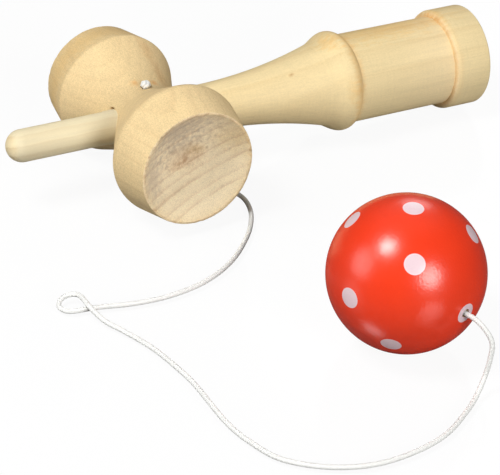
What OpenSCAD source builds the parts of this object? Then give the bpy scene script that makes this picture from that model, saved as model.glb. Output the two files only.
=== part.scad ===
// Cup and ball toy: a turned handle with a spike, a cross piece with a cup at each end,
// and a drilled wooden ball on a cord. It lies on a table, as when it is put down.
// Sizes are in millimetres. The toy's own frame has the spike at -X, the handle at +X,
// the large cup at -Y and the small cup at +Y, all about the middle of the cross piece.

/* [Handle] */
// From the middle of the cross piece to the base of the handle
handle_len = 130; // [118:0.5:142]
// Diameter of the neck beside the cross piece
neck_d = 16.5; // [15:0.1:18]
// Depth of the neck's end from the middle of the cross piece
neck_seat = 8; // [7:0.1:8.5]
// Where the neck starts to flare
flare_start = 20; // [17:0.5:24]
// Radius of the long hollow flare
flare_r = 175; // [165:1:220]
// Where the ring around the handle stands
bead_x = 74.2; // [70:0.1:76]
// Diameter of the ring
bead_d = 35.7; // [34.4:0.1:36.4]
// Radius of the ring's half round section
bead_round = 4; // [3:0.1:4.5]
// Diameter of the straight grip
grip_d = 31.8; // [30:0.1:33]
// Diameter of the foot
foot_d = 36.1; // [34:0.1:38]
// Length of the foot
foot_len = 14; // [10:0.5:18]
// Rounding of the foot's front edge
foot_round = 2; // [1:0.1:3]
// Rounding of the edge around the base
base_round = 1; // [0.6:0.1:2]
// Mouth of the shallow cup in the base
base_cup_d = 28; // [22:0.5:29]

/* [Spike] */
// From the middle of the cross piece to the spike's tip
spike_len = 51.4; // [46:0.1:58]
// Diameter of the spike where it stands free
spike_d = 11.2; // [10:0.1:11.5]
// Extra diameter of the dowel's glued shank
shank_extra = 0.4; // [0.35:0.05:0.6]
// How far the free spike stands clear of the waist where its shank ends
shank_proud = 2; // [1.5:0.1:4]
// Depth of the dowel in the end of the handle
dowel_depth = 25; // [15:0.5:35]
// Spare depth under the dowel's end
dowel_relief = 1; // [0.5:0.1:2]

/* [Cross piece] */
// Widest diameter of the large cup
big_cup_d = 47; // [45:0.1:50]
// Rim diameter of the large cup
big_rim_d = 40.6; // [38:0.1:43]
// From the middle of the cross piece to the large cup's rim
big_len = 39.4; // [37:0.1:44]
// From the middle of the cross piece to the large cup's widest circle
big_shoulder = 24.3; // [23:0.1:27]
// Widest diameter of the small cup
small_cup_d = 43.2; // [40:0.1:45]
// Rim diameter of the small cup
small_rim_d = 38; // [35:0.1:40]
// From the middle of the cross piece to the small cup's rim
small_len = 38.1; // [36:0.1:42]
// From the middle of the cross piece to the small cup's widest circle
small_shoulder = 23.2; // [22:0.1:26]
// Rounding of the large cup's shoulder
big_round = 4; // [2:0.1:5]
// Rounding of the small cup's shoulder
small_round = 2; // [1:0.1:5]
// Diameter of the waist
waist_d = 25; // [24:0.1:27]
// Radius of the hollow at the waist
waist_round = 12; // [8:0.5:13]
// Width of the flat land on a cup's rim
rim_land = 0.7; // [0.4:0.1:1.5]
// Extra radius of every dish over the ball's
dish_clearance = 1.5; // [0.5:0.1:4]

/* [Ball] */
// Diameter of the ball
ball_d = 50; // [46:0.5:54]
// Diameter of the hole that takes the spike
spike_hole_d = 17; // [15:0.1:19]
// Bevel at the mouth of the spike hole
spike_hole_bevel = 1.5; // [0.5:0.1:2]
// Diameter of the pocket that holds the stop bead
pocket_d = 10; // [9:0.1:12]
// Depth of the pocket
pocket_depth = 12; // [11.5:0.1:14]
// Diameter of the cord's hole
cord_hole_d = 3; // [2.6:0.1:3.4]
// Wood left between the pocket and the ball's surface, along the cord
ball_wall = 7; // [6:0.1:10]
// Where the ball lies beside the cross piece, along the handle
ball_x = 28; // [10:0.5:45]
// Where the ball lies in front of the cross piece
ball_gap = 124.5; // [110:0.5:140]
// Way that the cord's hole faces, turned from the handle's line
bore_turn = -75; // [-90:1:-60]
// How far the cord's hole looks down
bore_dip = 5; // [0:1:12]

/* [Cord] */
// Diameter of the braided cord
cord_d = 1.8; // [1.4:0.1:1.9]
// Diameter of the hole through the cross piece and the spike
cross_hole_d = 2.5; // [2.4:0.1:3]
// Diameter of the knot on top of the waist
top_knot_d = 3.6; // [3.2:0.1:4.2]
// Depth of the knot's seat below the top of the waist
knot_seat = 0.5; // [0.3:0.1:0.8]
// Diameter of the knot behind the stop bead
end_knot_d = 4.4; // [3.6:0.1:5]
// Diameter of the stop bead
bead_stop_d = 8; // [7.2:0.1:8.4]
// Length of the stop bead between its flats
bead_stop_len = 7; // [6:0.1:7.1]
// Diameter of the hole through the stop bead
bead_stop_hole_d = 2.6; // [2.4:0.1:2.8]

/* [Fits] */
// Room for glue around the neck and the dowel
glue_gap = 0.05; // [0.02:0.01:0.1]
// Play between the stop bead and the floor of its pocket
bead_play = 0.2; // [0.1:0.05:0.5]
// Room around the knot in its seat
knot_room = 0.4; // [0.2:0.1:0.8]

/* [Hidden] */
$fn = 96;

neck_r = neck_d / 2;
bead_r = bead_d / 2;
grip_r = grip_d / 2;
foot_r = foot_d / 2;
spike_r = spike_d / 2;
shank_r = spike_r + shank_extra / 2;
waist_r = waist_d / 2;
ball_r = ball_d / 2;
dish_r = ball_r + dish_clearance;
cord_r = cord_d / 2;
shank_end = waist_r + shank_proud;
// Half the angle of the short straight band across the middle of the waist
WAIST_BAND = 2;
// Turn of the revolved cross piece that keeps its seam clear of the bores
SEAM_TURN = 37;
// Longer than anything that a hole has to pass through
through = 4 * ball_d;

// The toy rests on both shoulders and on the edge of its foot. The cross piece leans because
// its cups differ in size, and the handle because its foot is thinner than the cups.
big_core = big_cup_d / 2 - big_round;
small_core = small_cup_d / 2 - small_round;
core_step = [big_core - small_core, big_shoulder + small_shoulder];
cross_lean = acos((small_round - big_round) / norm(core_step)) - atan2(core_step[1], core_step[0]);
axis_h = big_round + big_core * cos(cross_lean) - big_shoulder * sin(cross_lean);
foot_core = [handle_len - base_round, foot_r - base_round];
lean_y = asin((axis_h - base_round) / norm(foot_core)) - atan2(foot_core[1], foot_core[0]);
lean_x = -asin(sin(cross_lean) / cos(lean_y));

// The origin is on the table, below the middle of the handle, cross piece and ball together
tip_reach = (spike_len - spike_r) * cos(lean_y) + spike_r;
foot_reach = foot_core[0] * cos(lean_y) + foot_core[1] * sin(lean_y) + base_round;
back_reach = small_len * cos(lean_x) + small_rim_d / 2 * abs(sin(lean_x));
mid_x = (max(foot_reach, ball_x + ball_r) - tip_reach) / 2;
mid_y = (back_reach - ball_gap - ball_r) / 2;

// Along the ball's bore from its centre, positive towards the cord's mouth
pocket_floor = ball_r - ball_wall;
pocket_mouth = pocket_floor - pocket_depth;
bead_top = pocket_floor - bead_play;
bead_bottom = bead_top - bead_stop_len;

// Free points of the cord on the table, from the middle of the cross piece to the ball
CORD_ROUTE = [
    [-0.4, -0.5, 8], [0.2, -0.8, 5], [3.4, -2.6, 1.7], [6.8, -5.2, 1.1], [11, -8.5, 1],
    [20, -19.5, 1], [23, -29, 1], [21.5, -37, 1], [17, -45.5, 1], [9.5, -54.5, 1],
    [-1, -63.5, 1], [-13, -69.3, 1], [-27, -71.5, 1], [-41, -69.8, 1], [-49, -67.4, 1],
    [-54.4, -66.3, 1], [-57.4, -65.8, 1], [-60, -64.3, 1], [-60.9, -61.6, 1.1], [-59.4, -59, 1.6],
    [-56.5, -58.2, 2.2], [-54, -59.9, 2.8], [-53.4, -63, 3.1], [-53.5, -67.2, 3.2],
    [-53, -71.6, 2.6], [-51.6, -76, 1.6], [-48.6, -82.5, 1.1], [-44.6, -94.5, 1], [-42, -111, 1],
    [-40.6, -149, 1], [-36.5, -161, 1], [-27, -170.3, 1], [-14, -176, 1], [0, -176.5, 1],
    [13, -173.5, 1], [24, -167.2, 1], [29, -163.7, 1.1], [32.4, -161.2, 1.9], [35.9, -159, 5.2],
    [37.5, -158.8, 11], [38.1, -158.2, 17],
];
CORD_SIDES = 8;
// Longest step between two rings of the cord
CORD_STEP = 7.5;
// Straight run of the cord outside the ball's hole
CORD_LEAD = 5;
// How far a knot's middle stands over its seat, as a share of its diameter
KNOT_RISE = 0.3;

// A point of the toy's own frame where it comes to lie, over the cross piece's middle
function lay_point(p) =
    let (turned = [p[0], p[1] * cos(lean_x) - p[2] * sin(lean_x), p[1] * sin(lean_x) + p[2] * cos(lean_x)])
    [
        turned[0] * cos(lean_y) + turned[2] * sin(lean_y),
        turned[1],
        turned[2] * cos(lean_y) - turned[0] * sin(lean_y) + axis_h,
    ];

bore_way = [cos(bore_dip) * cos(bore_turn), cos(bore_dip) * sin(bore_turn), -sin(bore_dip)];
function bore_point(along) = [ball_x, -ball_gap, ball_r] + along * bore_way;

module lay_toy() {
    translate([-mid_x, -mid_y, axis_h]) rotate([lean_x, lean_y, 0]) children();
}

// Children have the bore along +Z, with the cord's mouth on top
module lay_ball() {
    translate([ball_x - mid_x, -ball_gap - mid_y, ball_r])
        rotate([0, 90 + bore_dip, bore_turn])
        children();
}

function arc(centre, radius, from, to, steps) =
    [for (i = [0:steps]) let (a = from + (to - from) * i / steps) centre + radius * [cos(a), sin(a)]];

// One cup's outline as [radius, distance], from the waist over the shoulder to the rim
function cup_outline(core, shoulder, round_r, rim_r, length) =
    let (
        hollow = [waist_r + waist_round, 0],
        round_at = [core, shoulder],
        between = hollow - round_at,
        cone = atan2(between[1], between[0]) + acos((waist_round + round_r) / norm(between)),
        to_rim = [rim_r, length] - round_at,
        side = atan2(to_rim[1], to_rim[0]) - acos(round_r / norm(to_rim))
    )
    concat(
        arc(hollow, waist_round, 180 - WAIST_BAND, 180 + cone, 10),
        arc(round_at, round_r, cone, side, 8),
        [[rim_r, length]]
    );

module dish(rim_r, length) {
    mouth_r = rim_r - rim_land;
    translate([0, 0, length + sqrt(dish_r * dish_r - mouth_r * mouth_r)]) sphere(dish_r);
}

module handle_outline() {
    foot_front = handle_len - foot_len + foot_round;
    foot_back = handle_len - base_round;
    translate([0, neck_seat]) square([neck_r, flare_start - neck_seat]);
    difference() {
        translate([0, flare_start]) square([bead_r, bead_x - flare_start]);
        translate([neck_r + flare_r, flare_start]) circle(flare_r, $fn = 720);
    }
    translate([bead_r - bead_round, bead_x]) circle(bead_round);
    translate([0, bead_x]) square([grip_r, foot_front - bead_x]);
    translate([foot_r - foot_round, foot_front]) circle(foot_round);
    translate([foot_r - base_round, foot_back]) circle(base_round);
    translate([0, foot_front]) square([foot_r, foot_back - foot_front]);
    translate([0, handle_len - foot_len]) square([foot_r - foot_round, foot_round]);
    translate([0, foot_back]) square([foot_r - base_round, base_round]);
}

// Turned in one piece: neck, flare, ring, grip and foot, with a shallow cup in the base
module handle() {
    color("burlywood") lay_toy() rotate([0, 90, 0]) difference() {
        rotate_extrude() handle_outline();
        translate([0, 0, neck_seat - dowel_relief])
            cylinder(r = shank_r + glue_gap, h = dowel_depth + 2 * dowel_relief);
        dish(base_cup_d / 2 + rim_land, handle_len);
    }
}

// A dowel with a domed tip, glued through the cross piece into the handle
module spike() {
    dowel_len = dowel_depth + neck_seat;
    color("wheat") lay_toy() difference() {
        rotate([0, 90, 0]) {
            translate([0, 0, spike_r - spike_len]) sphere(spike_r);
            translate([0, 0, spike_r - spike_len])
                cylinder(r = spike_r, h = spike_len - spike_r - shank_end);
            translate([0, 0, -shank_end]) cylinder(r = shank_r, h = shank_end + dowel_len);
        }
        translate([0, 0, -through / 2]) cylinder(d = cross_hole_d, h = through);
    }
}

// Turned in one piece: a waist with a barrel-sided cup at each end, bored for dowel, neck and cord
module cross_cups() {
    big = cup_outline(big_core, big_shoulder, big_round, big_rim_d / 2, big_len);
    small = cup_outline(small_core, small_shoulder, small_round, small_rim_d / 2, small_len);
    last = len(big) - 1;
    big_mirrored = [for (i = [0:last]) [big[last - i][0], -big[last - i][1]]];
    color("navajowhite") lay_toy() difference() {
        rotate([-90, 0, 0]) difference() {
            rotate([0, 0, SEAM_TURN]) rotate_extrude()
                polygon(concat([[0, -big_len]], big_mirrored, small, [[0, small_len]]));
            dish(small_rim_d / 2, small_len);
            mirror([0, 0, 1]) dish(big_rim_d / 2, big_len);
        }
        rotate([0, 90, 0]) {
            translate([0, 0, -through / 2]) cylinder(r = shank_r + glue_gap, h = through);
            translate([0, 0, neck_seat]) cylinder(r = neck_r + glue_gap, h = through);
        }
        translate([0, 0, -through / 2]) cylinder(d = cross_hole_d, h = through);
        translate([0, 0, waist_r - knot_seat]) cylinder(r = top_knot_d / 2 + knot_room, h = through);
    }
}

// Bored right through in three steps: spike hole, bead pocket and cord hole
module ball() {
    spike_hole_r = spike_hole_d / 2;
    mouth_r = spike_hole_r + spike_hole_bevel;
    mouth_at = -sqrt(ball_r * ball_r - mouth_r * mouth_r);
    color("orangered") lay_ball() difference() {
        sphere(ball_r, $fn = 160);
        translate([0, 0, -through / 2]) cylinder(d = cord_hole_d, h = through);
        translate([0, 0, pocket_floor - through]) cylinder(d = pocket_d, h = through);
        translate([0, 0, pocket_mouth - through]) cylinder(d = spike_hole_d, h = through);
        translate([0, 0, mouth_at - spike_hole_bevel])
            cylinder(r1 = mouth_r + spike_hole_bevel, r2 = spike_hole_r, h = 2 * spike_hole_bevel);
    }
}

// Wooden bead on the cord that keeps the ball from slipping off
module stop_bead() {
    color("peru") lay_ball() translate([0, 0, bead_bottom]) difference() {
        intersection() {
            translate([0, 0, bead_stop_len / 2]) sphere(d = bead_stop_d);
            cylinder(d = bead_stop_d, h = bead_stop_len);
        }
        translate([0, 0, -bead_stop_len]) cylinder(d = bead_stop_hole_d, h = 3 * bead_stop_len);
    }
}

// A tight round knot with a flat seat at its foot, drawn on +Z
module knot(d) {
    intersection() {
        translate([0, 0, KNOT_RISE * d]) sphere(d = d);
        cylinder(d = d, h = d);
    }
}

module top_knot() {
    color("white") lay_toy() translate([0, 0, waist_r - knot_seat]) knot(top_knot_d);
}

module end_knot() {
    color("white") lay_ball() translate([0, 0, bead_bottom]) mirror([0, 0, 1]) knot(end_knot_d);
}

// Route from knot to knot: through the cross piece, along the table and into the ball
cord_points = concat(
    [lay_point([0, 0, waist_r - knot_seat]), lay_point([0, 0, -waist_r])],
    CORD_ROUTE,
    [bore_point(ball_r + CORD_LEAD), bore_point(ball_r), bore_point(bead_bottom)]
);

function unit(v) = v / norm(v);
function chord(i) = norm(cord_points[i + 1] - cord_points[i]);
// Way of the cord at a point, weighed by the lengths of the two stretches that meet there
function way(i) =
    i == 0 ? unit(cord_points[1] - cord_points[0])
    : i == len(cord_points) - 1 ? unit(cord_points[i] - cord_points[i - 1])
    : (
        (cord_points[i] - cord_points[i - 1]) * chord(i) / chord(i - 1)
        + (cord_points[i + 1] - cord_points[i]) * chord(i - 1) / chord(i)
    ) / (chord(i - 1) + chord(i));
function on_stretch(i, t) =
    (2 * t ^ 3 - 3 * t ^ 2 + 1) * cord_points[i] + (3 * t ^ 2 - 2 * t ^ 3) * cord_points[i + 1]
    + ((t ^ 3 - 2 * t ^ 2 + t) * way(i) + (t ^ 3 - t ^ 2) * way(i + 1)) * chord(i);

module cord() {
    last = len(cord_points) - 1;
    centres = concat(
        [
            for (i = [0:last - 1])
                let (steps = ceil(chord(i) / CORD_STEP))
                for (k = [0:steps - 1]) on_stretch(i, k / steps)
        ],
        [cord_points[last]]
    );
    count = len(centres);
    ways = [for (i = [0:count - 1]) unit(centres[min(i + 1, count - 1)] - centres[max(i - 1, 0)])];
    // Each ring's first spoke is the last ring's, turned as little as the bend needs
    spokes = [
        for (i = 0, s = cross(ways[0], [0, 1, 0]); i < count;
            i = i + 1, s = i < count ? s - (s * ways[i]) * ways[i] : s)
        unit(s)
    ];
    points = [
        for (i = [0:count - 1])
            for (k = [0:CORD_SIDES - 1])
                let (a = 360 * k / CORD_SIDES)
                centres[i] + cord_r * (cos(a) * spokes[i] + sin(a) * cross(ways[i], spokes[i]))
    ];
    ring = [for (k = [0:CORD_SIDES - 1]) k];
    faces = concat(
        [ring],
        [
            for (i = [0:count - 2])
                for (k = ring)
                    let (
                        a = i * CORD_SIDES + k,
                        b = i * CORD_SIDES + (k + 1) % CORD_SIDES
                    )
                    each [[a, a + CORD_SIDES, b], [b, a + CORD_SIDES, b + CORD_SIDES]]
        ],
        [[for (k = ring) count * CORD_SIDES - 1 - k]]
    );
    color("whitesmoke") translate([-mid_x, -mid_y, 0]) polyhedron(points, faces);
}

handle();
spike();
cross_cups();
ball();
stop_bead();
cord();
top_knot();
end_knot();
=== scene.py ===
"""Cup and ball toy of pale turned wood, put down on a white table with its dotted red ball beside it.

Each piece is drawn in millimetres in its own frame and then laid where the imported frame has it.
"""

import math

import bmesh
import bpy
from mathutils import Euler, Matrix, Vector, noise


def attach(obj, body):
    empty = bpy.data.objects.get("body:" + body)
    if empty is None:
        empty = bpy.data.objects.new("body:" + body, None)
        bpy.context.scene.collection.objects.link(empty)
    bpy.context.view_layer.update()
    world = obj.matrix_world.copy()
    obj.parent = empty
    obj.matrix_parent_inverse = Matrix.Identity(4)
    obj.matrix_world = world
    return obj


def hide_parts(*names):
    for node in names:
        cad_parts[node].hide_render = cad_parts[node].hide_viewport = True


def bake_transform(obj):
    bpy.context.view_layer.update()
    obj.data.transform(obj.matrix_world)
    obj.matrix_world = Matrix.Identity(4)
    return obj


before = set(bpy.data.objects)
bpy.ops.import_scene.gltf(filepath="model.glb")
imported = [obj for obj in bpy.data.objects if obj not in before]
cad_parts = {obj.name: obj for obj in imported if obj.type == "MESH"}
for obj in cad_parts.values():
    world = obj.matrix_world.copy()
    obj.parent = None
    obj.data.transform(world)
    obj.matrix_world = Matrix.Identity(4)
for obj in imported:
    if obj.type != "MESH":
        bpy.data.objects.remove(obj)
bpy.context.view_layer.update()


# Cross piece
# One piece of pale hardwood with its grain along its length, turned to a thin waist with a
# barrel-sided cup at each end. It is bored across for the dowel and the neck, and through for
# the cord. The toy lies on its two shoulders and on the foot of the handle, so it leans a little.
MM = 0.001
toy_middle = Vector((-39.5706, 55.335, 22.5124))
toy_lean = Euler((math.radians(-2.2939), math.radians(1.9869), 0))
toy_place = Matrix.Scale(MM, 4) @ Matrix.Translation(toy_middle) @ toy_lean.to_matrix().to_4x4()
# Turned pieces are drawn about +X, and the cross piece lies along Y
along_y = Matrix.Rotation(math.radians(90), 4, "Z")
cross_place = toy_place @ along_y

waist_r = 12.5
waist_round = 12.0
rim_edge = 0.3
rim_land = 0.7
dish_r = 26.5
large_length = 39.4
small_length = 38.1
dowel_bore_r = 5.85
neck_bore_r = 8.3
neck_seat = 8.0
cord_bore_r = 1.25
knot_seat = 0.5
knot_seat_r = 1.95
cross_sides = 240


def add_node(tree, kind, inputs=None, **settings):
    """A node with its settings made and its inputs set, or linked where a socket is given"""
    made = tree.nodes.new(kind)
    for name, value in settings.items():
        setattr(made, name, value)
    for name, value in (inputs or {}).items():
        if isinstance(value, bpy.types.NodeSocket):
            tree.links.new(value, made.inputs[name])
        else:
            made.inputs[name].default_value = value
    return made


def sums(tree, operation, *values):
    """The result of one Math node"""
    return add_node(tree, "ShaderNodeMath", dict(enumerate(values)), operation=operation).outputs[0]


def vectors(tree, operation, *values, output=0):
    """The result of one Vector Math node"""
    made = add_node(tree, "ShaderNodeVectorMath", dict(enumerate(values)), operation=operation)
    return made.outputs[output]


def new_tree(name, kind, inputs, outputs):
    """An empty node group with its named sockets, and its two end nodes"""
    tree = bpy.data.node_groups.new(name, kind)
    for in_out, sockets in (("INPUT", inputs), ("OUTPUT", outputs)):
        for label, socket, value in sockets:
            made = tree.interface.new_socket(label, in_out=in_out, socket_type="NodeSocket" + socket)
            if value is not None:
                made.default_value = value
    return tree, tree.nodes.new("NodeGroupInput").outputs, tree.nodes.new("NodeGroupOutput").inputs


# Every turned piece comes from one lathe: an outline of (along, radius) points spun about +X
lathe, lathe_in, lathe_out = new_tree(
    "lathe",
    "GeometryNodeTree",
    [("Outline", "Geometry", None), ("Sides", "Int", 96), ("Material", "Material", None)],
    [("Piece", "Geometry", None)],
)
outline_size = add_node(lathe, "GeometryNodeAttributeDomainSize", {"Geometry": lathe_in["Outline"]})
ring_points = sums(lathe, "ADD", lathe_in["Sides"], 1)
spun = add_node(
    lathe,
    "GeometryNodeMeshGrid",
    {"Vertices X": outline_size.outputs["Point Count"], "Vertices Y": ring_points},
)
point_index = add_node(lathe, "GeometryNodeInputIndex").outputs[0]
ring_number = sums(lathe, "DIVIDE", sums(lathe, "ADD", point_index, 0.5), ring_points)
outline_index = sums(lathe, "FLOOR", ring_number)
ring_index = sums(lathe, "SUBTRACT", point_index, sums(lathe, "MULTIPLY", outline_index, ring_points))
ring_turn = sums(lathe, "MULTIPLY", sums(lathe, "DIVIDE", ring_index, lathe_in["Sides"]), math.tau)
outline_point = add_node(
    lathe,
    "GeometryNodeSampleIndex",
    {
        "Geometry": lathe_in["Outline"],
        "Value": add_node(lathe, "GeometryNodeInputPosition").outputs[0],
        "Index": outline_index,
    },
    data_type="FLOAT_VECTOR",
)
outline_part = add_node(lathe, "ShaderNodeSeparateXYZ", {0: outline_point.outputs[0]}).outputs
spun_point = add_node(
    lathe,
    "ShaderNodeCombineXYZ",
    {
        "X": outline_part["X"],
        "Y": sums(lathe, "MULTIPLY", outline_part["Y"], sums(lathe, "COSINE", ring_turn)),
        "Z": sums(lathe, "MULTIPLY", outline_part["Y"], sums(lathe, "SINE", ring_turn)),
    },
)
spun = add_node(
    lathe,
    "GeometryNodeSetPosition",
    {"Geometry": spun.outputs["Mesh"], "Position": spun_point.outputs[0]},
)
spun = add_node(lathe, "GeometryNodeMergeByDistance", {"Geometry": spun.outputs[0], "Distance": 0.0005})
face_normal = add_node(lathe, "GeometryNodeInputNormal").outputs[0]
facing = vectors(lathe, "DOT_PRODUCT", face_normal, (1, 0, 0), output="Value")
spun = add_node(
    lathe,
    "GeometryNodeStoreNamedAttribute",
    {"Geometry": spun.outputs[0], "Name": "end_grain", "Value": sums(lathe, "ABSOLUTE", facing)},
    data_type="FLOAT",
    domain="POINT",
)
spun = add_node(lathe, "GeometryNodeSetShadeSmooth", {"Geometry": spun.outputs[0]})
spun = add_node(lathe, "GeometryNodeRealizeInstances", {"Geometry": spun.outputs[0]})
spun = add_node(
    lathe, "GeometryNodeSetMaterial", {"Geometry": spun.outputs[0], "Material": lathe_in["Material"]}
)
lathe.links.new(spun.outputs[0], lathe_out["Piece"])


def work_in(piece):
    """The piece's modifiers worked into a plain mesh"""
    bpy.context.view_layer.update()
    graph = bpy.context.evaluated_depsgraph_get()
    mesh = bpy.data.meshes.new_from_object(piece.evaluated_get(graph), depsgraph=graph)
    piece.modifiers.clear()
    piece.data = mesh


def grow(name, points, closed, tree, values):
    """A piece that a node tree makes from a line of points"""
    mesh = bpy.data.meshes.new(name)
    edges = [(i, i + 1) for i in range(len(points) - 1)]
    if closed:
        edges.append((len(points) - 1, 0))
    mesh.from_pydata(points, edges, [])
    piece = bpy.data.objects.new(name, mesh)
    bpy.context.scene.collection.objects.link(piece)
    modifier = piece.modifiers.new(tree.name, "NODES")
    modifier.node_group = tree
    for socket in tree.interface.items_tree:
        if socket.in_out == "INPUT" and socket.name in values:
            modifier[socket.identifier] = values[socket.name]
    work_in(piece)
    # The piece's own empty slot comes first, and cut faces would take it
    piece.data.materials.pop(index=0)
    return piece


def turn(name, outline, sides, material):
    """A piece turned on the lathe, with its faces outwards"""
    points = [(along, radius, 0) for along, radius in outline]
    piece = grow(name, points, False, lathe, {"Sides": sides, "Material": material})
    shell = bmesh.new()
    shell.from_mesh(piece.data)
    bmesh.ops.recalc_face_normals(shell, faces=shell.faces)
    shell.to_mesh(piece.data)
    shell.free()
    return piece


def bore(piece, *drills):
    """Cuts drills out of a piece, each given as its turned outline and its place"""
    tools = []
    for outline, place in drills:
        tool = turn("drill", outline, 48, None)
        tool.data.transform(place)
        cut = piece.modifiers.new("bore", "BOOLEAN")
        cut.operation = "DIFFERENCE"
        cut.solver = "EXACT"
        cut.object = tool
        tools.append(tool)
    work_in(piece)
    for tool in tools:
        bpy.data.objects.remove(tool)


def lay(piece, place, body, slot, *nodes):
    """Puts a finished piece in its place on its body, for the nodes that it stands for"""
    piece.data.transform(place)
    piece.data.shade_smooth()
    piece.data.set_sharp_from_angle(angle=math.radians(32))
    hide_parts(*nodes)
    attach(piece, body)


def arc(centre, radius, start, end, steps):
    """Points on an arc of the (along, radius) plane, its angles in degrees from the axis"""
    turns = [math.radians(start + (end - start) * i / steps) for i in range(steps + 1)]
    return [(centre[0] + radius * math.cos(a), centre[1] + radius * math.sin(a)) for a in turns]


def dish_outline(mouth_r, rim_at):
    """A dish from its mouth in to the axis"""
    half = math.degrees(math.asin(mouth_r / dish_r))
    middle = rim_at + math.sqrt(dish_r**2 - mouth_r**2)
    return [*arc((middle, 0), dish_r, 180 - half, 180, 40)[:-1], (middle - dish_r, 0)]


def cup_outline(widest_d, rim_d, length, shoulder, shoulder_round):
    """One end of the cross piece, from the waist over the shoulder and the rim into the dish"""
    core = widest_d / 2 - shoulder_round
    hollow_r = waist_r + waist_round
    apart = math.hypot(hollow_r - core, shoulder)
    cone = math.degrees(
        math.atan2(-shoulder, hollow_r - core) + math.acos((waist_round + shoulder_round) / apart)
    )
    reach = math.hypot(rim_d / 2 - core, length - shoulder)
    side = math.degrees(
        math.atan2(length - shoulder, rim_d / 2 - core) - math.acos(shoulder_round / reach)
    )
    tilt = math.radians(90 - side)
    edge_at = (length - rim_edge, rim_d / 2 - rim_edge * (1 - math.cos(tilt)) / math.sin(tilt))
    mouth_r = rim_d / 2 - rim_land
    return [
        *arc((0, hollow_r), waist_round, -90, -90 - cone, 24),
        *arc((shoulder, core), shoulder_round, 90 - cone, 90 - side, 14),
        *arc(edge_at, rim_edge, 90 - side, 0, 5),
        *dish_outline(mouth_r, length),
    ]


large_cup = cup_outline(widest_d=47, rim_d=40.6, length=large_length, shoulder=24.3, shoulder_round=4)
small_cup = cup_outline(widest_d=43.2, rim_d=38, length=small_length, shoulder=23.2, shoulder_round=2.8)
cross_outline = [(-along, radius) for along, radius in reversed(large_cup)] + small_cup[1:]

# Pale wood: growth rings about a far pith, fibres along +X, fine specks, turning lines and cloudy
# tones. Its Vector is in millimetres, with the pith on the X axis.
wood, wood_in, wood_out = new_tree(
    "pale wood",
    "ShaderNodeTree",
    [
        ("Vector", "Vector", None),
        ("Pale", "Color", (0.8, 0.6, 0.34, 1)),
        ("End", "Color", (0.9, 0.74, 0.48, 1)),
        ("Late", "Color", (0.62, 0.55, 0.5, 1)),
        ("Ring Width", "Float", 3.4),
        ("Rings", "Float", 0.15),
        ("End Rings", "Float", 0.8),
        ("Waviness", "Float", 1.5),
        ("Uneven", "Float", 0.9),
        ("Fibre", "Float", 0.08),
        ("Clouds", "Float", 0.1),
        ("Specks", "Float", 0.12),
        ("Turning", "Float", 0.05),
        ("End Grain", "Float", 0.0),
    ],
    [("Color", "Color", None), ("Roughness", "Float", None), ("Height", "Float", None)],
)


def fade(tree, value, low, high, result=1.0):
    """A soft step from 0 at low to the result at high"""
    made = add_node(
        tree,
        "ShaderNodeMapRange",
        {"Value": value, "From Min": low, "From Max": high, "To Max": result},
        interpolation_type="SMOOTHSTEP",
    )
    return made.outputs["Result"]


def grain(tree, vector, stretch, detail, output="Fac"):
    """Noise drawn out by a stretch on each axis, in turns a millimetre"""
    made = add_node(
        tree,
        "ShaderNodeTexNoise",
        {"Vector": vectors(tree, "MULTIPLY", vector, stretch), "Scale": 1.0, "Detail": detail},
    )
    return made.outputs[output]


def centred(tree, value, strength):
    """A noise value about zero, times a strength"""
    return sums(tree, "MULTIPLY", sums(tree, "SUBTRACT", value, 0.5), strength)


waviness = add_node(
    wood, "ShaderNodeCombineXYZ", {"Y": wood_in["Waviness"], "Z": wood_in["Waviness"]}
).outputs[0]
mean_grey = (0.5, 0.5, 0.5)
wander = grain(wood, wood_in["Vector"], (0.02, 0.07, 0.07), 2, "Color")
wander = vectors(wood, "MULTIPLY", vectors(wood, "SUBTRACT", wander, mean_grey), waviness)
fray = grain(wood, wood_in["Vector"], (0.15, 0.8, 0.8), 2, "Color")
wander = vectors(wood, "ADD", wander, vectors(wood, "SUBTRACT", fray, mean_grey))
from_pith = vectors(wood, "MULTIPLY", vectors(wood, "ADD", wood_in["Vector"], wander), (0, 1, 1))
years = sums(wood, "DIVIDE", vectors(wood, "LENGTH", from_pith, output="Value"), wood_in["Ring Width"])
uneven = add_node(
    wood, "ShaderNodeTexNoise", {"W": years, "Scale": 0.43, "Detail": 1}, noise_dimensions="1D"
).outputs["Fac"]
years = sums(wood, "ADD", years, centred(wood, uneven, wood_in["Uneven"]))
season = sums(wood, "FRACT", years)
late = sums(
    wood,
    "MULTIPLY",
    sums(wood, "ADD", fade(wood, season, 0.2, 0.85, 0.5), fade(wood, season, 0.6, 0.85, 0.5)),
    fade(wood, season, 1.0, 0.84),
)
year_tone = add_node(
    wood, "ShaderNodeTexWhiteNoise", {"W": sums(wood, "FLOOR", years)}, noise_dimensions="1D"
).outputs["Value"]
late = sums(wood, "MULTIPLY", late, sums(wood, "MULTIPLY_ADD", year_tone, 0.6, 0.4))
faint = fade(wood, grain(wood, wood_in["Vector"], (0.03, 0.1, 0.1), 2), 0.25, 0.6)
late = sums(wood, "MULTIPLY", late, sums(wood, "MULTIPLY_ADD", faint, 0.7, 0.3))
end_part = fade(wood, wood_in["End Grain"], 0.5, 0.8)
fibre = grain(wood, wood_in["Vector"], (0.05, 1.3, 1.3), 4)
clouds = grain(wood, wood_in["Vector"], (0.03, 0.09, 0.09), 2)
specks = sums(wood, "SUBTRACT", grain(wood, wood_in["Vector"], (1.5, 3.2, 3.2), 1), 0.5)
along_fibre = add_node(wood, "ShaderNodeSeparateXYZ", {0: wood_in["Vector"]}).outputs["X"]
lathe_lines = add_node(
    wood,
    "ShaderNodeTexNoise",
    {"W": along_fibre, "Scale": 1.1, "Detail": 2},
    noise_dimensions="1D",
).outputs["Fac"]
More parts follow.
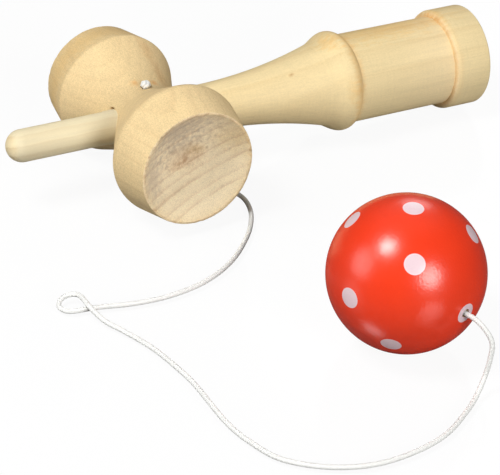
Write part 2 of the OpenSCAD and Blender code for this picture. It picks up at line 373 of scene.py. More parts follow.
lathe_lines = sums(wood, "MULTIPLY", centred(wood, lathe_lines, wood_in["Turning"]), faint)
tone = centred(wood, fibre, wood_in["Fibre"])
tone = sums(wood, "ADD", tone, centred(wood, clouds, wood_in["Clouds"]))
tone = sums(wood, "ADD", tone, sums(wood, "MULTIPLY_ADD", specks, wood_in["Specks"], lathe_lines))
tone = sums(wood, "MULTIPLY_ADD", tone, 2.0, 1.0)


def tint(tree, part, first, second, how="MIX"):
    """Two colours mixed or multiplied, by a part from 0 to 1"""
    made = add_node(
        tree, "ShaderNodeMix", {0: part, 6: first, 7: second}, data_type="RGBA", blend_type=how
    )
    return made.outputs[2]


end_gain = sums(wood, "SUBTRACT", wood_in["End Rings"], wood_in["Rings"])
end_gain = sums(wood, "MULTIPLY", end_gain, end_part)
ring_part = sums(wood, "MULTIPLY", late, sums(wood, "ADD", wood_in["Rings"], end_gain))
plain = tint(wood, end_part, wood_in["Pale"], wood_in["End"])
ringed = tint(wood, ring_part, plain, wood_in["Late"], "MULTIPLY")
toned = add_node(wood, "ShaderNodeVectorMath", {0: ringed, "Scale": tone}, operation="SCALE").outputs[0]
wood.links.new(toned, wood_out["Color"])
sanded = sums(wood, "MULTIPLY_ADD", end_part, 0.1, 0.42)
wood.links.new(sums(wood, "MULTIPLY_ADD", fibre, 0.2, sanded), wood_out["Roughness"])
relief = sums(wood, "MULTIPLY_ADD", specks, 1.2, fibre)
wood.links.new(
    sums(wood, "ADD", relief, sums(wood, "MULTIPLY", lathe_lines, 6.0)), wood_out["Height"]
)

# A local mark in wood, such as a knot, a stain or a burnished edge, with an uneven border
mark, mark_in, mark_out = new_tree(
    "mark in wood",
    "ShaderNodeTree",
    [
        ("Color", "Color", (1, 1, 1, 1)),
        ("Vector", "Vector", None),
        ("Middle", "Vector", None),
        ("Reach", "Vector", (1, 1, 1)),
        ("Tint", "Color", (0.6, 0.4, 0.2, 1)),
        ("Strength", "Float", 1.0),
    ],
    [("Color", "Color", None)],
)
mark_at = vectors(mark, "SUBTRACT", mark_in["Vector"], mark_in["Middle"])
mark_at = vectors(mark, "DIVIDE", mark_at, mark_in["Reach"])
mark_far = vectors(mark, "LENGTH", mark_at, output="Value")
mark_border = grain(mark, mark_in["Vector"], (0.3, 0.7, 0.7), 3)
mark_far = sums(mark, "ADD", mark_far, centred(mark, mark_border, 1.3))
mark_part = sums(mark, "MULTIPLY", fade(mark, mark_far, 1.1, 0.0), mark_in["Strength"])
mark.links.new(tint(mark, mark_part, mark_in["Color"], mark_in["Tint"], "MULTIPLY"), mark_out["Color"])


def stained(tree, colour, vector, place, marks):
    """A colour with marks laid over it

    Each mark is its middle in the toy's own frame, its reach along the fibre and across it, its tint
    and its strength.
    """
    for middle, reach, stain, strength in marks:
        colour = add_node(
            tree,
            "ShaderNodeGroup",
            {
                "Color": colour,
                "Vector": vector,
                "Middle": place.inverted() @ toy_place @ Vector(middle),
                "Reach": reach,
                "Tint": stain,
                "Strength": strength,
            },
            node_tree=mark,
        ).outputs["Color"]
    return colour


def wooden(name, place, marks, end_marks, **values):
    """Pale wood with its pith laid by a place, and marks on all of it or on its end grain alone"""
    material = bpy.data.materials.new(name)
    material.use_nodes = True
    tree = material.node_tree
    shader = tree.nodes["Principled BSDF"].inputs
    shader["Specular IOR Level"].default_value = 0.08
    location, rotation, scale = place.decompose()
    blank = add_node(
        tree,
        "ShaderNodeMapping",
        {
            "Vector": add_node(tree, "ShaderNodeTexCoord").outputs["Object"],
            "Location": location,
            "Rotation": rotation.to_euler(),
            "Scale": scale,
        },
        vector_type="TEXTURE",
    ).outputs[0]
    end_grain = add_node(tree, "ShaderNodeAttribute", attribute_name="end_grain").outputs["Fac"]
    sockets = {label.replace("_", " "): value for label, value in values.items()}
    sockets["End"] = stained(tree, sockets["End"], blank, place, end_marks)
    figured = add_node(
        tree, "ShaderNodeGroup", {"Vector": blank, "End Grain": end_grain, **sockets}, node_tree=wood
    ).outputs
    colour = stained(tree, figured["Color"], blank, place, marks)
    bump = add_node(
        tree, "ShaderNodeBump", {"Height": figured["Height"], "Strength": 0.35, "Distance": 0.1 * MM}
    )
    tree.links.new(colour, shader["Base Color"])
    tree.links.new(figured["Roughness"], shader["Roughness"])
    tree.links.new(bump.outputs[0], shader["Normal"])
    return material


cross_wood = wooden(
    "cross wood",
    toy_place @ Matrix.Translation((-17.6, 0, 41.4)) @ along_y,
    [
        # Painted warm bounce light on either side of the knot's seat, where the lit wall of the seat
        # glows
        ((-2.2, 3.7, 12.9), (2.2, 2.0, 2.4), (1.0, 0.78, 0.6, 1), 0.9),
        ((4.4, 2.5, 12.0), (2.2, 2.0, 2.6), (1.0, 0.72, 0.48, 1), 1.0),
        # Painted shade darkening the chip at the dowel's bore
        ((-11.4, 2.2, 5.7), (1.6, 1.6, 0.6), (0.4, 0.32, 0.24, 1), 0.9),
        # A warmer band round the small cup, and brown streaks on its back
        ((0, 31, 0), (9, 400, 400), (1.0, 0.93, 0.8, 1), 0.9),
        ((9.4, 8.2, 12), (9, 3, 6), (0.86, 0.77, 0.72, 1), 0.9),
        ((9, 18, 17), (8, 4, 6), (0.9, 0.81, 0.75, 1), 0.8),
    ],
    [
        # Painted shade: grey zones in the upper left of the large dish, where its rim shades it, and a
        # yellow one on its right
        ((-7, -33, 14), (14, 20, 13), (0.65, 0.635, 0.68, 1), 0.95),
        ((-15, -33, -2), (14, 8, 12), (0.74, 0.72, 0.75, 1), 0.95),
        ((15, -35, 8), (12, 10, 9), (0.9, 0.84, 0.73, 1), 0.9),
        # The darker middle of the dish, reddish around the knot
        ((-1.5, -31, 3.5), (6, 15, 8), (0.77, 0.765, 0.79, 1), 0.9),
        ((-0.6, -31, 0.4), (5, 10, 6.5), (0.9, 0.81, 0.75, 1), 0.9),
        # The knot itself: three short streaks and a patch
        ((-4.4, -31, -2.6), (4, 3.2, 1.6), (0.78, 0.67, 0.6, 1), 0.6),
        ((-2.2, -31, -1.3), (4, 2.8, 1.4), (0.74, 0.61, 0.54, 1), 0.65),
        ((-0.5, -31, -0.1), (4, 1.4, 2.4), (0.7, 0.56, 0.48, 1), 0.65),
        ((3.0, -31.2, 3.0), (4, 5.2, 3.2), (0.88, 0.78, 0.62, 1), 0.65),
        # A dark nick in the rim, and the burnished edges of both rims
        ((19.9, -39.3, 2.5), (2, 0.9, 0.9), (0.45, 0.34, 0.24, 1), 0.9),
        ((0, -39.6, 0), (0.8, 400, 400), (0.86, 0.75, 0.6, 1), 0.9),
        ((0, 38.3, 0), (0.8, 400, 400), (0.86, 0.75, 0.6, 1), 0.9),
    ],
    Pale=(0.785, 0.595, 0.32, 1),
    End=(0.97, 0.83, 0.57, 1),
    Late=(0.7, 0.575, 0.5, 1),
    Ring_Width=3.4,
    Rings=0.2,
    End_Rings=0.57,
    Waviness=1.2,
    Specks=0.25,
)
cross_piece = turn("cross_piece", cross_outline, cross_sides, cross_wood)
# Both rims are frayed where the soft end grain has torn
frayed_band = 0.35
wide_tear = 0.3
fine_tear = 0.2
for point in cross_piece.data.vertices:
    over_rim = min(abs(point.co.x + large_length), abs(point.co.x - small_length))
    if over_rim < frayed_band:
        tear = max(0, noise.noise(point.co * 0.7)) * wide_tear
        tear += abs(noise.noise(point.co * 2.1)) * fine_tear
        point.co.x -= math.copysign(tear, point.co.x)


def drill(start, end, radius):
    """The outline of a plain drill"""
    return [(start, 0), (start, radius), (end, radius), (end, 0)]


along_handle = along_y.inverted()
up = Matrix.Rotation(math.radians(-90), 4, "Y")
dowel_drill = drill(-30, 30, dowel_bore_r)
neck_drill = drill(neck_seat, 30, neck_bore_r)
cord_drill = drill(-20, 20, cord_bore_r)
seat_drill = drill(waist_r - knot_seat, 20, knot_seat_r)
# A chip has come out of the edge of the dowel's bore, and it is wider than deep
chip_drill = drill(-16, -9.5, 0.45)
chip_wide = Matrix.Diagonal((2.2, 1, 1, 1))
chip_place = Matrix.Translation((2.2, 0, 5.7)) @ Matrix.Rotation(math.radians(20), 4, "Y") @ chip_wide
bore(
    cross_piece,
    (dowel_drill, along_handle),
    (neck_drill, along_handle),
    (chip_drill, chip_place @ along_handle),
    (cord_drill, up),
    (seat_drill, up),
)
lay(cross_piece, cross_place, "toy", "cross_wood", "cross_cups")


# Handle
# Turned in one piece from pale hardwood with its grain along it: a neck that is glued into the cross
# piece, a long hollow flare up to a ring, a straight grip, and a foot with a shallow cup in its base.
neck_r = 8.25
flare_start = 20.0
flare_r = 175.0
flare_end = 67.0
ring_at = 74.2
ring_crest = 17.85
ring_round = 4.0
grip_r = 15.9
foot_start = 116.0
foot_r = 18.05
foot_round = 2.0
base_round = 1.0
handle_end = 130.0
base_mouth_r = 14.0
dowel_hole_end = 34.0


def flare_radius(along):
    """Radius of the hollow flare"""
    return neck_r + flare_r - math.sqrt(flare_r**2 - (along - flare_start) ** 2)


def flow(first, first_slope, last, last_slope, steps):
    """A smooth outline between two points with the slopes given there"""
    run = last[0] - first[0]
    points = []
    for i in range(1, steps):
        t = i / steps
        radius = (
            (2 * t**3 - 3 * t**2 + 1) * first[1]
            + (3 * t**2 - 2 * t**3) * last[1]
            + ((t**3 - 2 * t**2 + t) * first_slope + (t**3 - t**2) * last_slope) * run
        )
        points.append((first[0] + t * run, radius))
    return points


flare_slope = (flare_end - flare_start) / math.sqrt(flare_r**2 - (flare_end - flare_start) ** 2)
ring_foot = math.degrees(math.asin((grip_r - ring_crest + ring_round) / ring_round))
handle_outline = [
    (dowel_hole_end, 0),
    (dowel_hole_end, dowel_bore_r),
    (neck_seat, dowel_bore_r),
    (neck_seat, neck_r),
    *[(along, flare_radius(along)) for along in range(int(flare_start), int(flare_end) + 1)],
    *flow((flare_end, flare_radius(flare_end)), flare_slope, (ring_at, ring_crest), 0.0, 10),
    *arc((ring_at, ring_crest - ring_round), ring_round, 90, ring_foot, 10),
    (foot_start, grip_r),
    *arc((foot_start + foot_round, foot_r - foot_round), foot_round, 180, 90, 9)[1:],
    *arc((handle_end - base_round, foot_r - base_round), base_round, 90, 0, 7),
    *dish_outline(base_mouth_r, handle_end),
]
orange = (1.0, 0.84, 0.66, 1)
handle_wood = wooden(
    "handle wood",
    toy_place @ Matrix.Translation((0, -50, -10)),
    [
        # Painted shadow in the corner between the grip and the foot, and the warm edge of the foot
        ((116.1, 0, 0), (0.5, 400, 400), (0.85, 0.7, 0.53, 1), 0.5),
        ((117.2, 0, 0), (2.0, 400, 400), orange, 0.2),
        ((117, 0, 16), (2.4, 9, 5), orange, 0.35),
        # A warm band behind the ring, and a patch along the top of the grip
        ((76.4, 0, 0), (3.2, 400, 400), orange, 0.75),
        ((96, 2, 16), (40, 11, 5), (1.0, 0.88, 0.7, 1), 1.0),
        # A pin knot in the flare
        ((53.4, -6.5, 9.4), (1.6, 0.8, 1.8), (0.62, 0.42, 0.3, 1), 0.9),
        # Warm patches on the ring
        ((71, -2, 16), (4, 7, 4), (1.0, 0.88, 0.72, 1), 0.7),
        ((74, -17, 4), (4, 4, 7), (1.0, 0.88, 0.72, 1), 0.7),
    ],
    [],
    Pale=(0.83, 0.665, 0.37, 1),
    End=(0.88, 0.70, 0.42, 1),
    Late=(0.86, 0.79, 0.7, 1),
    Ring_Width=8.2,
    Rings=0.42,
    Uneven=0.5,
    Specks=0.09,
    Turning=0.03,
)
handle = turn("handle_turned", handle_outline, 128, handle_wood)
lay(handle, toy_place, "toy", "handle_wood", "handle")


# Spike
# A plain dowel of creamy wood with a domed tip, glued through the cross piece into the neck.
# The cord's hole goes through it. Its glued shank is a little thicker than the free end.
spike_r = 5.6
spike_tip = -51.4
shank_r = 5.8
shank_start = -14.5
shank_end = 33.0
shank_step = 0.4
spike_outline = [
    *arc((spike_tip + spike_r, 0), spike_r, 180, 90, 20),
    (shank_start - shank_step, spike_r),
    (shank_start, shank_r),
    (shank_end, shank_r),
    (shank_end, 0),
]
spike_wood = wooden(
    "spike wood",
    toy_place @ Matrix.Translation((0, -14, -30)),
    [],
    [],
    Pale=(0.765, 0.665, 0.445, 1),
    End=(0.80, 0.67, 0.42, 1),
    Late=(0.86, 0.78, 0.68, 1),
    Rings=0.4,
    Specks=0.04,
    Turning=0.0,
)
spike = turn("spike_dowel", spike_outline, 72, spike_wood)
bore(spike, (cord_drill, up))
lay(spike, toy_place, "toy", "spike_wood", "spike")


# Cord
# White cord braided from eight strands over a core, 1.8 mm thick. It hangs from a knot on top of
# the waist, goes down through the cross piece and over the table to the ball, with one small loop
# on its way.
cord_lead = 5.0
ball_r = 25.0
ball_middle = Vector((-11.5706, -69.165, 25))
bore_turn = Euler((0, math.radians(5), math.radians(-75)))
ball_place = Matrix.Scale(MM, 4) @ Matrix.Translation(ball_middle) @ bore_turn.to_matrix().to_4x4()
bead_bottom = 10.8
table_place = Matrix.Scale(MM, 4) @ Matrix.Translation((toy_middle.x, toy_middle.y, 0))
cord_route = [
    (-0.4, -0.5, 8), (0.2, -0.8, 5), (3.4, -2.6, 1.7), (6.8, -5.2, 1.1), (11, -8.5, 1),
    (20, -19.5, 1), (23, -29, 1), (21.5, -37, 1), (17, -45.5, 1), (9.5, -54.5, 1),
    (-1, -63.5, 1), (-13, -69.3, 1), (-27, -71.5, 1), (-41, -69.8, 1), (-49, -67.4, 1),
    (-54.4, -66.3, 1), (-57.4, -65.8, 1), (-60, -64.3, 1), (-60.9, -61.6, 1.1), (-59.4, -59, 1.6),
    (-56.5, -58.2, 2.2), (-54, -59.9, 2.8), (-53.4, -63, 3.1), (-53.5, -67.2, 3.2),
    (-53, -71.6, 2.6), (-51.6, -76, 1.6), (-48.6, -82.5, 1.1), (-44.6, -94.5, 1), (-42, -111, 1),
    (-40.6, -149, 1), (-36.5, -161, 1), (-27, -170.3, 1), (-14, -176, 1), (0, -176.5, 1),
    (13, -173.5, 1), (24, -167.2, 1), (29, -163.7, 1.1), (32.4, -161.2, 1.9), (35.9, -159, 5.2),
    (37.5, -158.8, 11), (38.1, -158.2, 17),
]
cord_points = [
    toy_place @ Vector((0, 0, waist_r - knot_seat)),
    toy_place @ Vector((0, 0, -waist_r)),
    *[table_place @ Vector(point) for point in cord_route],
    *[ball_place @ Vector((along, 0, 0)) for along in (ball_r + cord_lead, ball_r, bead_bottom)],
]


def smooth_line(points, step):
    """One smooth curve through the points, sampled about a step apart"""
    chords = [(after - before).length for before, after in zip(points, points[1:])]
    ways = [(points[1] - points[0]) / chords[0]]
    for i in range(1, len(points) - 1):
        before = (points[i] - points[i - 1]) * chords[i] / chords[i - 1]
        after = (points[i + 1] - points[i]) * chords[i - 1] / chords[i]
        ways.append((before + after) / (chords[i - 1] + chords[i]))
    ways.append((points[-1] - points[-2]) / chords[-1])
    line = []
    for i, chord in enumerate(chords):
        count = math.ceil(chord / step)
        for k in range(count):
            t = k / count
            line.append(
                (2 * t**3 - 3 * t**2 + 1) * points[i]
                + (3 * t**2 - 2 * t**3) * points[i + 1]
                + ((t**3 - 2 * t**2 + t) * ways[i] + (t**3 - t**2) * ways[i + 1]) * chord
            )
    return [*line, points[-1]]


# Half the strands wind one way and half the other, each over and under at every crossing
braid, braid_in, braid_out = new_tree(
    "braid",
    "GeometryNodeTree",
    [
        ("Line", "Geometry", None),
        ("Strands", "Int", 8),
        ("Lay Radius", "Float", 0.00036),
        ("Strand Radius", "Float", 0.00047),
        ("Weave", "Float", 0.00001),
        ("Plait Length", "Float", 0.0058),
        ("Step", "Float", 0.0004),
        ("Core Radius", "Float", 0.00079),
        ("Material", "Material", None),
    ],
    [("Piece", "Geometry", None)],
)
laid = add_node(braid, "GeometryNodeMeshToCurve", {"Mesh": braid_in["Line"]}).outputs[0]
laid = add_node(
    braid, "GeometryNodeResampleCurve", {"Curve": laid, "Length": braid_in["Step"]}, mode="LENGTH"
).outputs[0]
strands = add_node(
    braid,
    "GeometryNodeDuplicateElements",
    {"Geometry": laid, "Amount": braid_in["Strands"]},
    domain="SPLINE",
).outputs
strand_index = strands["Duplicate Index"]
hand = sums(braid, "MULTIPLY_ADD", sums(braid, "MODULO", strand_index, 2), 2.0, -1.0)
half = sums(braid, "DIVIDE", braid_in["Strands"], 2)
strand_pair = sums(braid, "FLOOR", sums(braid, "DIVIDE", strand_index, 2))
slot_turn = sums(braid, "MULTIPLY", sums(braid, "DIVIDE", strand_pair, half), math.tau)
strand_run = add_node(braid, "GeometryNodeSplineParameter").outputs["Length"]
wind = sums(braid, "MULTIPLY", sums(braid, "DIVIDE", strand_run, braid_in["Plait Length"]), math.tau)
strand_turn = sums(braid, "MULTIPLY_ADD", wind, hand, slot_turn)
over = sums(braid, "MULTIPLY", sums(braid, "COSINE", sums(braid, "MULTIPLY", wind, half)), hand)
strand_lay = sums(braid, "MULTIPLY_ADD", over, braid_in["Weave"], braid_in["Lay Radius"])
spoke = add_node(braid, "GeometryNodeInputNormal").outputs[0]
across = vectors(braid, "CROSS_PRODUCT", add_node(braid, "GeometryNodeInputTangent").outputs[0], spoke)
offset = []
for spoke_way, part in ((spoke, "COSINE"), (across, "SINE")):
    share = sums(braid, "MULTIPLY", sums(braid, part, strand_turn), strand_lay)
    shift = add_node(
        braid, "ShaderNodeVectorMath", {0: spoke_way, "Scale": share}, operation="SCALE"
    )
    offset.append(shift.outputs[0])
wound = strands["Geometry"]
for label, value in (("strand", strand_index), ("run", strand_run)):
    wound = add_node(
        braid,
        "GeometryNodeStoreNamedAttribute",
        {"Geometry": wound, "Name": label, "Value": value},
        data_type="FLOAT",
        domain="POINT",
    ).outputs[0]
wound = add_node(
    braid, "GeometryNodeSetPosition", {"Geometry": wound, "Offset": vectors(braid, "ADD", *offset)}
).outputs[0]
joined = add_node(braid, "GeometryNodeJoinGeometry")
strand_sides = 10
core_sides = 12
for line, radius, sides in (
    (wound, braid_in["Strand Radius"], strand_sides),
    (laid, braid_in["Core Radius"], core_sides),
):
    section = add_node(
        braid, "GeometryNodeCurvePrimitiveCircle", {"Resolution": sides, "Radius": radius}
    )
    tube = add_node(
        braid,
        "GeometryNodeCurveToMesh",
        {"Curve": line, "Profile Curve": section.outputs[0], "Fill Caps": True},
    )
    braid.links.new(tube.outputs[0], joined.inputs[0])
woven = add_node(braid, "GeometryNodeSetShadeSmooth", {0: joined.outputs[0]}).outputs[0]
woven = add_node(braid, "GeometryNodeRealizeInstances", {0: woven}).outputs[0]
woven = add_node(
    braid, "GeometryNodeSetMaterial", {"Geometry": woven, "Material": braid_in["Material"]}
).outputs[0]
braid.links.new(woven, braid_out["Piece"])

cord_white = bpy.data.materials.new("white cord")
cord_white.use_nodes = True
cord_tree = cord_white.node_tree
cord_shader = cord_tree.nodes["Principled BSDF"].inputs
cord_shader["Specular IOR Level"].default_value = 0.2
cord_shader["Roughness"].default_value = 0.75
strand_run = add_node(cord_tree, "ShaderNodeAttribute", attribute_name="run").outputs["Fac"]
strand_number = add_node(cord_tree, "ShaderNodeAttribute", attribute_name="strand").outputs["Fac"]
# Each strand has its own line of yarn tones, far from its neighbour's
strand_apart = 7.3
yarn_at = add_node(
    cord_tree,
    "ShaderNodeCombineXYZ",
    {
        "X": sums(cord_tree, "DIVIDE", strand_run, MM),
        "Y": sums(cord_tree, "MULTIPLY", strand_number, strand_apart),
    },
)
yarn = add_node(
    cord_tree, "ShaderNodeTexNoise", {"Vector": yarn_at.outputs[0], "Scale": 1.6, "Detail": 3}
).outputs["Fac"]
dull_white = (0.82, 0.82, 0.79, 1)
clean_white = (0.89, 0.89, 0.86, 1)
cord_tree.links.new(tint(cord_tree, yarn, dull_white, clean_white), cord_shader["Base Color"])
cord_line = smooth_line(cord_points, 0.5 * MM)
cord = grow("cord_braided", cord_line, False, braid, {"Material": cord_white})
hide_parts("cord")


# Knots and stop bead
# The cord ends in a tight overhand knot at either end: one in its seat on top of the waist, and one
# inside the ball, where it holds a small wooden bead that is too wide for the cord's hole.
knot_cord_r = 0.8
knot_turns = 3
knot_lobes = 4
knot_steps = 240
top_knot_d = 3.8
top_knot_height = 2.75
end_knot_d = 4.4
end_knot_height = 3.52


def knot_line(size, height, base):
    """A tight round knot of a few turns that stands on its base along +Z"""
    spread = (size / 2 - knot_cord_r) / 2
    points = []
    for i in range(knot_steps):
        t = math.tau * i / knot_steps
        out = spread * (1 + math.cos(knot_lobes * t))
        rise = (height / 2 - knot_cord_r) * math.sin(knot_lobes * t)
        around = knot_turns * t
        points.append((out * math.cos(around), out * math.sin(around), base + height / 2 + rise))
    return points


knot_sizes = {
    "Lay Radius": 0.34,
    "Strand Radius": 0.44,
    "Weave": 0.01,
    "Plait Length": 4.6,
    "Step": 0.2,
    "Core Radius": 0.74,
    "Material": cord_white,
}
top_knot_line = knot_line(top_knot_d, top_knot_height, waist_r - knot_seat)
top_knot = grow("knot_on_top", top_knot_line, True, braid, knot_sizes)
lay(top_knot, toy_place, "toy", "cord_white", "top_knot")
end_knot_line = knot_line(end_knot_d, end_knot_height, -bead_bottom)
end_knot = grow("knot_in_ball", end_knot_line, True, braid, knot_sizes)
lay(end_knot, ball_place @ up, "cord_end", "cord_white", "end_knot")

bead_r = 4.0
bead_hole_r = 1.3
bead_top = 17.8
bead_middle = (bead_bottom + bead_top) / 2
bead_flat = math.degrees(math.acos((bead_top - bead_middle) / bead_r))
bead_outline = [
    (bead_bottom, bead_hole_r),
    *arc((bead_middle, 0), bead_r, 180 - bead_flat, bead_flat, 24),
    (bead_top, bead_hole_r),
    (bead_bottom, bead_hole_r),
]
bead_wood = wooden(
    "bead wood",
    ball_place @ Matrix.Translation((0, 6, 9)),
    [],
    [],
    Pale=(0.7, 0.47, 0.24, 1),
    End=(0.7, 0.47, 0.24, 1),
    Ring_Width=1.2,
)
bead = turn("stop_bead_turned", bead_outline, 48, bead_wood)
lay(bead, ball_place, "cord_end", "bead_wood", "stop_bead")

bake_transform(cord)


# Ball
# A wooden ball, bored right through in three steps for the spike, the bead and the cord, and painted
# with scarlet lacquer. The dots are pale discs stamped on it in rings around the cord's hole.
cord_hole_r = 1.5
pocket_r = 5.0
pocket_floor = 18.0
pocket_mouth = 6.0
spike_hole_r = 8.5
spike_mouth_r = 10.0
spike_bevel = 1.5
dot_r = 3.25
dot_soft = 0.08
dot_border = 0.7
# Angle of each ring of dots from the cord's hole, with the angles of its dots around the bore
dot_rings = {0: [0], 59: [-37, 37, 121, 222], 91: [2, 86, 174, 266], 128: [34, 124, 214, 304]}

spike_mouth = -math.sqrt(ball_r**2 - spike_mouth_r**2)
cord_lip = math.degrees(math.asin(cord_hole_r / ball_r))
spike_lip = math.degrees(math.asin(spike_mouth_r / ball_r))
ball_outline = [
    (pocket_floor, cord_hole_r),
    *arc((0, 0), ball_r, cord_lip, 180 - spike_lip, 110),
    (spike_mouth + spike_bevel, spike_hole_r),
    (pocket_mouth, spike_hole_r),
    (pocket_mouth, pocket_r),
    (pocket_floor, pocket_r),
    (pocket_floor, cord_hole_r),
]
ball_lacquer = bpy.data.materials.new("ball lacquer")
ball_lacquer.use_nodes = True
ball_tree = ball_lacquer.node_tree
ball_shader = ball_tree.nodes["Principled BSDF"].inputs
ball_shader["Specular IOR Level"].default_value = 0
ball_shader["Roughness"].default_value = 0.5
ball_shader["Coat Roughness"].default_value = 0.27
ball_shader["Coat IOR"].default_value = 1.6
ball_blank = add_node(
    ball_tree,
    "ShaderNodeMapping",
    {
        "Vector": add_node(ball_tree, "ShaderNodeTexCoord").outputs["Object"],
        "Location": ball_place.translation,
        "Rotation": bore_turn,
        "Scale": (MM, MM, MM),
    },
    vector_type="TEXTURE",
).outputs[0]
dot_far = None
for polar, turns in dot_rings.items():
    for around in turns:
        down = math.radians(polar)
        round_bore = math.radians(around)
        dot_at = ball_r * Vector((
            math.cos(down),
            -math.sin(down) * math.sin(round_bore),
            math.sin(down) * math.cos(round_bore),
        ))
        far = vectors(ball_tree, "DISTANCE", ball_blank, dot_at, output="Value")
        dot_far = far if dot_far is None else sums(ball_tree, "MINIMUM", dot_far, far)
dot_part = fade(ball_tree, dot_far, dot_r + dot_soft, dot_r - dot_soft)
dot_edge = fade(ball_tree, dot_far, dot_r - dot_border, dot_r)
skin = grain(ball_tree, ball_blank, (1.4, 1.4, 1.4), 2)
cloud = grain(ball_tree, ball_blank, (0.07, 0.07, 0.07), 2)
scarlet = tint(ball_tree, cloud, (0.84, 0.039, 0.0075, 1), (0.92, 0.05, 0.0105, 1))
dot_paint = tint(ball_tree, dot_edge, (0.82, 0.62, 0.66, 1), (0.86, 0.66, 0.69, 1))
painted = tint(ball_tree, dot_part, scarlet, dot_paint)
# The lacquer ends just inside the bores, where the wood is bare
from_middle = vectors(ball_tree, "LENGTH", ball_blank, output="Value")
in_bore = fade(ball_tree, from_middle, ball_r - 0.1, ball_r - 0.6)
ball_wood = add_node(
    ball_tree,
    "ShaderNodeGroup",
    {"Vector": ball_blank, "Pale": (0.72, 0.5, 0.27, 1)},
    node_tree=wood,
).outputs
ball_tree.links.new(tint(ball_tree, in_bore, painted, ball_wood["Color"]), ball_shader["Base Color"])
gloss = sums(ball_tree, "MULTIPLY_ADD", skin, 0.8, 0.6)
gloss = sums(ball_tree, "MULTIPLY", sums(ball_tree, "SUBTRACT", 1, in_bore), gloss)
ball_tree.links.new(gloss, ball_shader["Coat Weight"])
ball_bump = add_node(
    ball_tree, "ShaderNodeBump", {"Height": skin, "Strength": 0.8, "Distance": 0.06 * MM}
)
ball_tree.links.new(ball_bump.outputs[0], ball_shader["Normal"])
ball_tree.links.new(ball_bump.outputs[0], ball_shader["Coat Normal"])
ball = turn("ball_painted", ball_outline, 160, ball_lacquer)
lay(ball, ball_place, "ball", "ball_lacquer", "ball")


# Table
# A smooth white table top, not part of the toy. It shows nearly white with a faint shadow under the
# toy, and it is glossy enough for the lamps to be mirrored in it and seen again low on the ball.
table_half = 3.0
table_white = 0.93
table_mirrored = 0.03
lamps_mirrored = 0.08
table_mesh = bpy.data.meshes.new("table")
table_corners = [(x * table_half, y * table_half, -MM) for x, y in ((-1, -1), (1, -1), (1, 1), (-1, 1))]
table_mesh.from_pydata(table_corners, [], [(0, 1, 2, 3)])
table = bpy.data.objects.new("table", table_mesh)
bpy.context.scene.collection.objects.link(table)
table_top = bpy.data.materials.new("table top")
table_mesh.materials.append(table_top)
table_top.use_nodes = True
table_tree = table_top.node_tree
table_shader = table_tree.nodes["Principled BSDF"]
table_shader.inputs["Roughness"].default_value = 0.12


def seen(tree, mirror_share):
    """1 for rays that see the white background, a share for its mirror image, 0 for carried light"""
    path = add_node(tree, "ShaderNodeLightPath").outputs
    mirrored = sums(tree, "MULTIPLY", path["Is Glossy Ray"], mirror_share)
    direct = sums(tree, "MAXIMUM", path["Is Camera Ray"], mirrored)
    return sums(tree, "MAXIMUM", direct, path["Is Transmission Ray"])


white = add_node(table_tree, "ShaderNodeEmission", {"Color": (1, 1, 1, 1), "Strength": 1.0}).outputs[0]
table_path = add_node(table_tree, "ShaderNodeLightPath").outputs
table_seen = seen(table_tree, table_mirrored)
white_part = sums(table_tree, "MULTIPLY", table_seen, table_white)
# A grey that throws little light back up at the toy, a pale one to look at, a dark one in the lacquer
carried_grey = (0.28, 0.28, 0.28, 1)
seen_grey = (0.9, 0.9, 0.9, 1)
lacquer_grey = (0.05, 0.05, 0.05, 1)
table_colour = tint(table_tree, table_seen, carried_grey, seen_grey)
table_tree.links.new(
    tint(table_tree, table_path["Is Glossy Ray"], table_colour, lacquer_grey),
    table_shader.inputs["Base Color"],
)
table_look = add_node(
    table_tree, "ShaderNodeMixShader", {0: white_part, 1: table_shader.outputs[0], 2: white}
).outputs[0]
lamp_glow = sums(table_tree, "MULTIPLY", table_path["Is Glossy Ray"], lamps_mirrored)
lamp_mirror = add_node(
    table_tree, "ShaderNodeBsdfGlossy", {"Color": lamp_glow, "Roughness": 0.15}
).outputs[0]
table_look = add_node(table_tree, "ShaderNodeAddShader", {0: table_look, 1: lamp_mirror}).outputs[0]
table_tree.links.new(table_look, table_tree.nodes["Material Output"].inputs["Surface"])


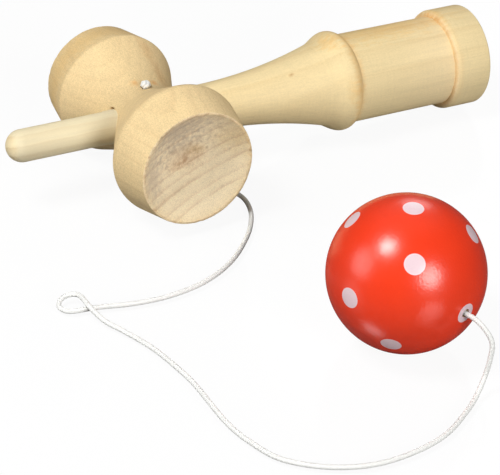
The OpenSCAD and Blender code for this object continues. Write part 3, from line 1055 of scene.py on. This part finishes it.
# Light and view
# Soft studio light: a key lamp high on the left, a broad one in front, one low on the left and a weak
# one behind. The room is dim, with a backdrop that the lacquer mirrors a little above and behind the
# toy. The camera looks down a long lens from the front left.
room = bpy.data.worlds.new("room")
bpy.context.scene.world = room
room.use_nodes = True
room_tree = room.node_tree
room_light = room_tree.nodes["Background"].inputs
room_light["Color"].default_value = (1, 1, 1, 1)
room_level = 0.09
backdrop_way = (0.25, 0.45, 0.86)
backdrop_mirrored = 0.3
way_out = add_node(room_tree, "ShaderNodeTexCoord").outputs["Generated"]
behind = vectors(room_tree, "DOT_PRODUCT", way_out, backdrop_way, output="Value")
room_seen = seen(room_tree, fade(room_tree, behind, 0.7, 1.0, backdrop_mirrored))
room_tree.links.new(
    sums(room_tree, "MULTIPLY_ADD", room_seen, 1 - room_level, room_level), room_light["Strength"]
)
# Way to each lamp from the toy, its distance and width in metres, and its power
lamps = {
    "key": ((-0.528, -0.051, 0.848), 0.9, 0.3, 4.95),
    "front": ((0.055, -0.906, 0.42), 2.0, 1.0, 25.2),
    "left": ((-0.903, 0.221, 0.368), 1.0, 0.6, 2.5),
    "back": ((0.55, 0.65, 0.52), 1.0, 0.4, 1.0),
}
for name, (way, distance, size, power) in lamps.items():
    light = bpy.data.lights.new(name, "AREA")
    light.shape = "DISK"
    light.size = size
    light.energy = power
    lamp = bpy.data.objects.new(name, light)
    lamp.location = distance * Vector(way)
    lamp.rotation_euler = Vector(way).to_track_quat("Z", "Y").to_euler()
    bpy.context.scene.collection.objects.link(lamp)

view_azimuth = math.radians(-29.42)
view_elevation = math.radians(32.48)
view_roll = math.radians(1.69)
camera_at = (-0.35766, -0.5842, 0.4302)
view_back = Vector((
    math.sin(view_azimuth) * math.cos(view_elevation),
    -math.cos(view_azimuth) * math.cos(view_elevation),
    math.sin(view_elevation),
))
view_turn = view_back.to_track_quat("Z", "Y").to_matrix().to_4x4() @ Matrix.Rotation(view_roll, 4, "Z")
camera_data = bpy.data.cameras.new("camera")
camera_data.sensor_width = 36
camera_data.lens = 172.8
camera = bpy.data.objects.new("camera", camera_data)
camera.matrix_world = Matrix.Translation(camera_at) @ view_turn
bpy.context.scene.collection.objects.link(camera)
bpy.context.scene.camera = camera
bpy.context.scene.view_settings.view_transform = "Standard"
